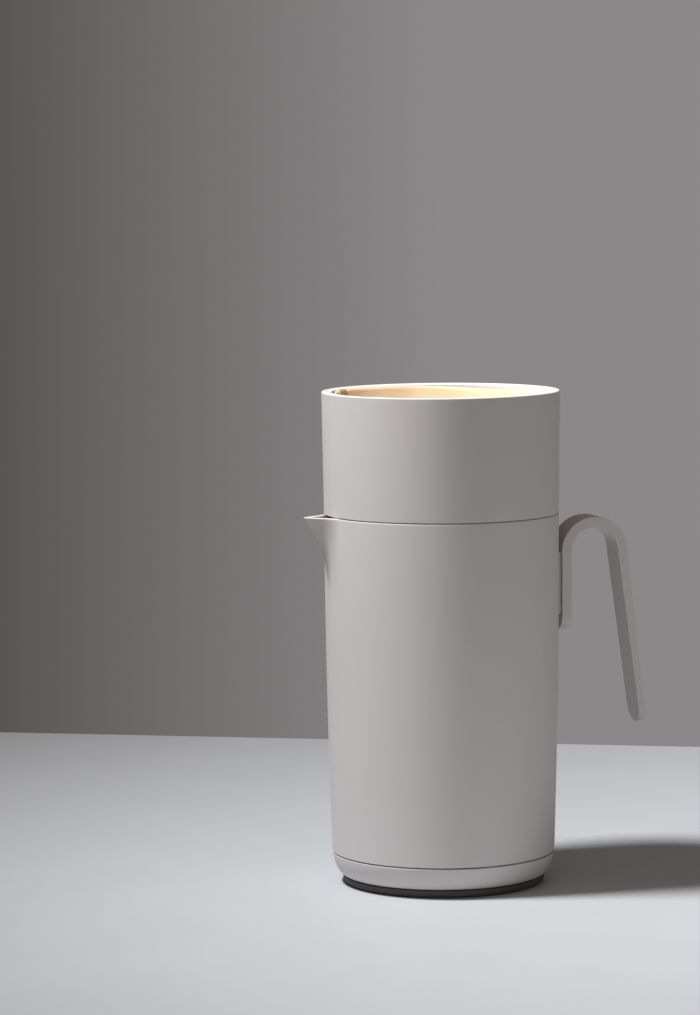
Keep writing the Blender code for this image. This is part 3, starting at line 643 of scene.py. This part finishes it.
down_leg = Vector((math.sin(outer_lean), 0, -math.cos(outer_lean)))
through_leg = Vector((math.cos(outer_lean), 0, math.sin(outer_lean)))
bend = strap_place(inner_leg + arch_length)
for vert in strap.verts:
    run = (vert.co - bend).dot(down_leg)
    if run > 0 and vert.co.x > bend.x - strap_thickness:
        thinning = (1 - strap_tip_thickness / strap_thickness) * run / outer_leg
        vert.co -= through_leg * (vert.co - bend).dot(through_leg) * thinning

pockets = bmesh.new()
for node in insert_nodes:
    low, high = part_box(node)
    pocket_place = Matrix.Translation((pocket_end - pocket_depth / 2, 0, (low.z + high.z) / 2))
    bmesh.ops.create_cone(pockets, cap_ends=True, segments=pocket_sides, radius1=pocket_radius,
                          radius2=pocket_radius, depth=pocket_depth,
                          matrix=pocket_place @ Matrix.Rotation(math.pi / 2, 4, "Y"))
strap = change_solid(strap, pockets, "DIFFERENCE")
finish_node(strap, "handle_strap", grey_abs)
dress_node("handle_gasket", moulded_silicone("moulded_grey_silicone", "C2BEBF", "CCC8C9"))
for node in ("handle_backing_plate", *screw_nodes):
    dress_node(node, steel)
brass = turned_brass()
for node in insert_nodes:
    dress_node(node, brass)


# Filter holder
# A slightly flared ABS tube that stands on the jug's rim. A skirt under its floor ring plugs into
# the mouth, and a ledge near the top carries the cone. Same matt grey skin as the casing.
holder_low, holder_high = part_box("dripper_shell")
seal_low, seal_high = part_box("dripper_seal")
cone_low, cone_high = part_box("filter_cone")
holder_foot = rim + fit
holder_foot_round = 0.3 * mm
holder_top = holder_high.z
holder_top_radius = holder_high.x
holder_top_round = 0.7 * mm
holder_lip_round = 0.4 * mm
holder_wall = 2.4 * mm
holder_floor = holder_foot + 2.4 * mm
holder_floor_round = 0.6 * mm
holder_corner = 0.8 * mm
holder_flare = (holder_top_radius - rim_radius) / (holder_top - holder_foot)
skirt_radius = seal_high.x - 3.2 * mm - fit
skirt_bore = skirt_radius - 2.0 * mm
skirt_round = 0.5 * mm
cone_angle = math.radians(30)       # from the axis to the wall
cone_slope = math.tan(cone_angle)
cone_wall = 2.0 * mm
cone_wall_across = cone_wall / math.cos(cone_angle)
cone_start = cone_high.z - 3.5 * mm
cone_collar_base = cone_start - 2.7 * mm
cone_collar_radius = cone_high.x
cone_bore = cone_collar_radius - cone_wall
cone_neck_radius = cone_bore - (cone_start - cone_collar_base) * cone_slope + cone_wall_across
cone_ledge_top = cone_collar_base - fit
cone_ledge_under = cone_ledge_top - 2.4 * mm
cone_ledge_radius = cone_neck_radius + fit
cone_ledge_round = 0.4 * mm
cone_ledge_corner = 0.6 * mm


def holder_radius(z):
    """Outside radius of the holder, which flares evenly to its top."""
    return rim_radius + holder_flare * (z - holder_foot)


cone_ledge_root = holder_radius(cone_ledge_under) - holder_wall
cone_ledge_slope_foot = cone_ledge_under - (cone_ledge_root - cone_ledge_radius)
holder = lathe([
    (holder_top_radius, holder_top, holder_top_round),
    (rim_radius, holder_foot, holder_foot_round),
    (skirt_radius, holder_foot),
    (skirt_radius, holder_low.z, skirt_round),
    (skirt_bore, holder_low.z, skirt_round),
    (skirt_bore, holder_floor, holder_floor_round),
    (rim_radius - holder_wall, holder_floor, holder_corner),
    (cone_ledge_root, cone_ledge_slope_foot, cone_ledge_corner),
    (cone_ledge_radius, cone_ledge_under, cone_ledge_round),
    (cone_ledge_radius, cone_ledge_top, cone_ledge_round),
    (holder_radius(cone_ledge_top) - holder_wall, cone_ledge_top),
    (holder_top_radius - holder_wall, holder_top, holder_lip_round),
])
finish_node(holder, "dripper_shell", grey_abs)


# Holder seal
# A silicone ring round the holder's skirt, with two lips that press on the jug's seat, stretched on from
# below.
# It is what the holder rests on. Its dark colour is painted shade for the gap under the holder and the
# spout's trough.
seal_bore = skirt_radius + fit
seal_waist = seal_high.x - 0.9 * mm
seal_round = 0.5 * mm
seal_lip_height = (seal_high.z - seal_low.z) / 3
holder_seal = lathe([
    (seal_bore, seal_high.z, seal_round),
    (seal_waist, seal_high.z, seal_round),
    (seal_high.x, seal_high.z - seal_lip_height, seal_round),
    (seal_waist, (seal_low.z + seal_high.z) / 2, seal_round),
    (seal_high.x, seal_low.z + seal_lip_height, seal_round),
    (seal_waist, seal_low.z, seal_round),
    (seal_bore, seal_low.z, seal_round),
])
# painted shade: the dark silicone stands in for the deep shade in the gap under the holder and in the
# trough
finish_node(holder_seal, "dripper_seal", dark_silicone)


# Filter cone
# A separate cone of paler ABS that hangs by its collar on the holder's ledge and lifts out.
# Straight ribs inside keep the paper off the wall, and a short outlet drips into the flask.
cone_top = holder_top - 0.2 * mm
cone_top_radius = cone_collar_radius + 0.25 * mm
cone_top_round = 0.2 * mm
cone_lip_round = 0.7 * mm
cone_collar_round = 0.3 * mm
cone_crook = 1.5 * mm
outlet_radius = 11.0 * mm
outlet_top = cone_start - (cone_bore - outlet_radius) / cone_slope
outlet_round = 0.5 * mm
outlet_crook = 2.0 * mm
rib_count = 12
rib_width = 1.6 * mm
rib_height = 1.3 * mm
rib_end_gap = 6.0 * mm
rib_round = 0.5 * mm
rib_round_steps = 3
rib_length = (cone_bore - outlet_radius) / math.sin(cone_angle) - 2 * rib_end_gap
rib_size = (rib_height + cone_wall / 2, rib_width, rib_length)
rib_radius = (cone_bore + outlet_radius) / 2
rib_middle = (cone_start + outlet_top) / 2
cone = lathe([
    (cone_top_radius, cone_top, cone_top_round),
    (cone_collar_radius, cone_collar_base, cone_collar_round),
    (cone_neck_radius, cone_collar_base),
    (outlet_radius + cone_wall_across, outlet_top, outlet_crook),
    (outlet_radius + cone_wall_across, cone_low.z, outlet_round),
    (outlet_radius, cone_low.z, outlet_round),
    (outlet_radius, outlet_top, outlet_crook),
    (cone_bore, cone_start, cone_crook),
    (cone_bore, cone_top, cone_lip_round),
])
inwards = Matrix.Translation((rib_size[0] / 2 - rib_height, 0, 0))
seat_on_wall = Matrix.Translation((rib_radius, 0, rib_middle)) @ Matrix.Rotation(cone_angle, 4, "Y")
ribs = bmesh.new()
for i in range(rib_count):
    bar = bmesh.ops.create_cube(ribs, size=1)["verts"]
    bmesh.ops.scale(ribs, vec=rib_size, verts=bar)
    inner_edges = {edge for vert in bar if vert.co.x < 0 for edge in vert.link_edges}
    soft_edges = [edge for edge in inner_edges if all(vert.co.x < 0 for vert in edge.verts)]
    rounded_bar = bmesh.ops.bevel(ribs, geom=soft_edges, offset=rib_round, offset_type="OFFSET",
                                  affect="EDGES", segments=rib_round_steps, profile=0.5, material=-1)
    bar = list({vert for vert in bar if vert.is_valid} | set(rounded_bar["verts"]))
    turn = Matrix.Rotation(2 * math.pi * (i + 0.5) / rib_count, 4, "Z")
    bmesh.ops.transform(ribs, matrix=turn @ seat_on_wall @ inwards, verts=bar)
bmesh.ops.recalc_face_normals(ribs, faces=ribs.faces)
cone = change_solid(cone, ribs, "UNION")
finish_node(cone, "filter_cone", moulded_abs("moulded_pale_abs", "E2E1DF", "E7E6E4"))


# Paper filter
# A cone of natural filter paper, creped so that it stretches, and crimped along one side seam.
# It lies on the cone's ribs, sinks a little between them, and stands slightly higher on one side.
paper_low, paper_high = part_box("paper_filter")
paper_top = paper_high.z
paper_top_radius = paper_high.x
paper_thickness = 0.25 * mm
paper_rows = 48
paper_point = paper_low.z + 0.4 * mm
paper_start = paper_low.z + 1.0 * mm
sag = 0.5 * mm
sag_full_share = 0.75               # the sag grows up to this share of the height
edge_rise = 0.4 * mm
edge_tilt = 1.0 * mm
edge_lobe = 0.7 * mm
edge_wave = 0.2 * mm
edge_wave_count = 5
edge_wave_start = 1.0
edge_inwards = 1.9 * mm
upright_share = 0.85                # above this share of the height the edge stands upright
upright_bend = 1.5
high_side = math.radians(125)
seam_side = math.radians(142)
seam_half_width = 4.5 * mm
crimp_pitch = 1.6 * mm


def creped_paper():
    """Unbleached filter paper: cream brown, dull, with level crepe wrinkles and short fibres."""
    wrinkle_height = 0.8 * mm
    wrinkle_length = 5 * mm
    fibre_size = 0.5 * mm           # fibres are finer and are drawn coarser so that they show
    stain_size = 16 * mm
    material, tree, shader = new_material("creped_natural_paper", Roughness=0.9, IOR=1.45,
                                          Subsurface_Weight=0.3, Subsurface_Scale=1.0 * mm,
                                          Subsurface_Radius=(1.0, 0.9, 0.75))
    place = add_node(tree, "ShaderNodeTexCoord").outputs["Object"]
    stain = add_node(tree, "ShaderNodeTexNoise", {
        "Vector": place, "Scale": 1 / stain_size, "Detail": 3.0})
    pulp = add_node(tree, "ShaderNodeMix", {
        0: stain.outputs["Fac"], 6: linear("DABF9F"), 7: linear("E1CBAF")}, data_type="RGBA")
    fibre = add_node(tree, "ShaderNodeTexNoise", {
        "Vector": place, "Scale": 1 / fibre_size, "Detail": 4.0})
    colour = add_node(tree, "ShaderNodeMix", {
        0: 0.12, 6: pulp.outputs[2], 7: fibre.outputs["Color"]}, data_type="RGBA", blend_type="SOFT_LIGHT")

    # The seam is a strip of doubled paper, pressed with level crimps, on one side only. Its darker brown
    # is painted shade
    across_seam = (-math.sin(seam_side), math.cos(seam_side), 0)
    along_seam = (math.cos(seam_side), math.sin(seam_side), 0)
    off_seam = add_node(tree, "ShaderNodeVectorMath", {0: place, 1: across_seam}, operation="DOT_PRODUCT")
    off_seam = add_node(tree, "ShaderNodeMath", {0: off_seam.outputs["Value"]}, operation="ABSOLUTE")
    in_strip = add_node(tree, "ShaderNodeMapRange", {
        "Value": off_seam.outputs[0], "From Min": seam_half_width, "From Max": 0.7 * seam_half_width})
    seam_reach = add_node(tree, "ShaderNodeVectorMath", {0: place, 1: along_seam}, operation="DOT_PRODUCT")
    same_side = add_node(tree, "ShaderNodeMath", {
        0: seam_reach.outputs["Value"], 1: 0.0}, operation="GREATER_THAN")
    seam_mask = add_node(tree, "ShaderNodeMath", {
        0: in_strip.outputs["Result"], 1: same_side.outputs[0]}, operation="MULTIPLY")
    # painted shade: the seam strip takes a darker brown than the paper around it
    painted_seam_shade = add_node(tree, "ShaderNodeMix", {
        0: seam_mask.outputs[0], 6: colour.outputs[2], 7: linear("B48C58")}, data_type="RGBA")
    tree.links.new(painted_seam_shade.outputs[2], shader.inputs["Base Color"])
    one_band_each = math.pi / 10 / crimp_pitch
    crimps = add_node(tree, "ShaderNodeTexWave", {
        "Vector": place, "Scale": one_band_each}, bands_direction="Z", wave_profile="SIN")
    pressed = add_node(tree, "ShaderNodeMath", {
        0: crimps.outputs["Fac"], 1: seam_mask.outputs[0]}, operation="MULTIPLY")

    stretch = add_node(tree, "ShaderNodeMapping", {
        "Vector": place, "Scale": (1 / wrinkle_length, 1 / wrinkle_length, 1 / wrinkle_height)})
    crepe = add_node(tree, "ShaderNodeTexNoise", {
        "Vector": stretch.outputs["Vector"], "Scale": 1.0, "Detail": 4.0})
    relief = add_node(tree, "ShaderNodeMath", {
        0: crepe.outputs["Fac"], 1: pressed.outputs[0]}, operation="ADD")
    bump = add_node(tree, "ShaderNodeBump", {
        "Height": relief.outputs[0], "Strength": 0.5, "Distance": 0.15 * mm})
    tree.links.new(bump.outputs["Normal"], shader.inputs["Normal"])
    return material


def paper_radius(z):
    """Radius of the paper's outer face at a height, by the slope of the cone."""
    return paper_top_radius - (paper_top - z) * cone_slope


paper_heights = [paper_start + (paper_top - paper_start) * i / paper_rows for i in range(paper_rows + 1)]
paper = lathe([
    (0, paper_point),
    *[(paper_radius(z) - paper_thickness, z) for z in paper_heights],
], closed=False)
for vert in paper.verts:
    bearing = math.atan2(vert.co.y, vert.co.x)
    radius = math.hypot(vert.co.x, vert.co.y)
    share = max(0, (vert.co.z - paper_start) / (paper_top - paper_start))
    between_ribs = (1 + math.cos(bearing * rib_count)) / 2
    swell = sag * between_ribs * math.sin(math.pi / 2 * min(share / sag_full_share, 1))
    from_high = bearing - high_side
    lift = edge_rise + edge_tilt * math.cos(from_high) + edge_lobe * math.cos(2 * from_high)
    lift += edge_wave * math.sin(edge_wave_count * bearing + edge_wave_start)
    rise = lift * share
    upright = max(0, (share - upright_share) / (1 - upright_share))
    if radius > point_merge:
        stretch = 1 + (swell + rise * cone_slope - edge_inwards * upright ** upright_bend) / radius
        vert.co.x *= stretch
        vert.co.y *= stretch
    vert.co.z += rise
finished_paper = finish_node(paper, "paper_filter", creped_paper())
sheet = finished_paper.modifiers.new("paper thickness", "SOLIDIFY")
sheet.thickness = paper_thickness
sheet.offset = 0


# Stage
# A pale painted table top that ends behind the jug, in front of a grey room whose wall carries painted
# shading.
# One soft lamp stands high on the spout's side, and the room fills the shadows from the front.
table_turn = math.radians(-26.6)
table_behind = 0.439
table_front = 0.46
table_side = 2.6
table_thickness = 0.03
table_gap = 0.1 * mm
lamp_azimuth = math.radians(-89)
lamp_height = math.radians(66.5)
lamp_distance = 1.15
lamp_size = 0.176
lamp_spread = math.radians(108)
lamp_aim = Vector((0.86, -0.24, 0))
lamp_watts = 10.938
camera_azimuth = math.radians(-17)
camera_heading = camera_azimuth + math.radians(1.337)
wall_dark_at = -0.089               # sine of the bearing, from straight ahead, where the wall is darkest
wall_light_at = 0.0235              # and where it is lightest
fill_from = Vector((0, -0.8, 0.6))  # most of the room's light comes from the front and from above


def painted_board():
    """Satin paint on board: pale cool grey with slow roller marks."""
    mark_size = 60 * mm
    material, tree, shader = new_material("satin_painted_board", IOR=1.45)
    place = add_node(tree, "ShaderNodeTexCoord").outputs["Object"]
    marks = add_node(tree, "ShaderNodeTexNoise", {
        "Vector": place, "Scale": 1 / mark_size, "Detail": 4.0})
    colour = add_node(tree, "ShaderNodeMix", {
        0: marks.outputs["Fac"], 6: linear("BEC0C5"), 7: linear("C3C5CA")}, data_type="RGBA")
    tree.links.new(colour.outputs[2], shader.inputs["Base Color"])
    gloss = add_node(tree, "ShaderNodeMapRange", {
        "Value": marks.outputs["Fac"], "To Min": 0.55, "To Max": 0.65})
    tree.links.new(gloss.outputs["Result"], shader.inputs["Roughness"])
    return material


table = bmesh.new()
bmesh.ops.create_cube(table, size=1)
table_size = (2 * table_side, table_front + table_behind, table_thickness)
table_middle = (0, (table_behind - table_front) / 2, -table_thickness / 2 - table_gap)
bmesh.ops.scale(table, vec=table_size, verts=table.verts)
bmesh.ops.translate(table, vec=table_middle, verts=table.verts)
bmesh.ops.rotate(table, verts=table.verts, cent=(0, 0, 0), matrix=Matrix.Rotation(table_turn, 3, "Z"))
table_top = add_piece(table, "table_top", painted_board())

lamp_data = bpy.data.lights.new("soft_key", "AREA")
lamp_data.shape = "DISK"
lamp_data.size = lamp_size
lamp_data.spread = lamp_spread
lamp_data.energy = lamp_watts
lamp = bpy.data.objects.new("soft_key", lamp_data)
bpy.context.scene.collection.objects.link(lamp)
jug_middle = Vector((0, 0, (cad_box[0].z + cad_box[1].z) / 2))
raised = Vector((0, -math.cos(lamp_height), math.sin(lamp_height)))
lamp.location = jug_middle + Matrix.Rotation(lamp_azimuth, 3, "Z") @ raised * lamp_distance
lamp.rotation_euler = (lamp.location - lamp_aim).to_track_quat("Z", "Y").to_euler()

room = bpy.data.worlds.new("grey_room")
bpy.context.scene.world = room
room.use_nodes = True
tree = room.node_tree
tree.nodes.clear()
outwards = add_node(tree, "ShaderNodeTexCoord").outputs["Generated"]
to_right = Matrix.Rotation(camera_heading, 3, "Z") @ Vector((1, 0, 0))
across = add_node(tree, "ShaderNodeVectorMath", {0: outwards, 1: to_right}, operation="DOT_PRODUCT")
# painted shading: the wall runs from dark on the left to light on the right, standing in for the lamp's
# light falling across it
shade = add_node(tree, "ShaderNodeMapRange", {
    "Value": across.outputs["Value"], "From Min": wall_dark_at, "From Max": wall_light_at})
wall_colour = add_node(tree, "ShaderNodeMix", {
    0: shade.outputs["Result"], 6: linear("595554"), 7: linear("8C8889")}, data_type="RGBA")
wall = add_node(tree, "ShaderNodeBackground", {"Color": wall_colour.outputs[2], "Strength": 1.0})
from_front = Matrix.Rotation(camera_azimuth, 3, "Z") @ fill_from
facing = add_node(tree, "ShaderNodeVectorMath", {0: outwards, 1: from_front}, operation="DOT_PRODUCT")
fill_level = add_node(tree, "ShaderNodeMapRange", {
    "Value": facing.outputs["Value"], "To Min": 0.055, "To Max": 0.27}, interpolation_type="SMOOTHSTEP")
fill = add_node(tree, "ShaderNodeBackground", {
    "Color": linear("FFF6E6"), "Strength": fill_level.outputs["Result"]})
ray = add_node(tree, "ShaderNodeLightPath").outputs
seen_or_mirrored = add_node(tree, "ShaderNodeMath", {
    0: ray["Is Camera Ray"], 1: ray["Is Glossy Ray"]}, operation="MAXIMUM")
room_light = add_node(tree, "ShaderNodeMixShader", {
    0: seen_or_mirrored.outputs[0], 1: fill.outputs[0], 2: wall.outputs[0]})
add_node(tree, "ShaderNodeOutputWorld", {"Surface": room_light.outputs[0]})


# Camera
# A long lens a little above the rim, from the spout side of the front, aimed left of the jug.
# The sensor's width lies along the picture's long side.
lens = 139.3
camera_distance = 1.94
camera_height = 0.373
camera_pitch = math.radians(5.47)
camera_roll = math.radians(-0.5)
camera_data = bpy.data.cameras.new("camera")
camera_data.lens = lens
camera = bpy.data.objects.new("camera", camera_data)
bpy.context.scene.collection.objects.link(camera)
in_front = Vector((0, -camera_distance, camera_height))
camera.location = Matrix.Rotation(camera_azimuth, 3, "Z") @ in_front
turned = (Matrix.Rotation(camera_heading, 3, "Z") @ Matrix.Rotation(math.pi / 2 - camera_pitch, 3, "X")
          @ Matrix.Rotation(camera_roll, 3, "Z"))
camera.rotation_euler = turned.to_euler()
bpy.context.scene.camera = camera
bpy.context.scene.view_settings.view_transform = "Standard"
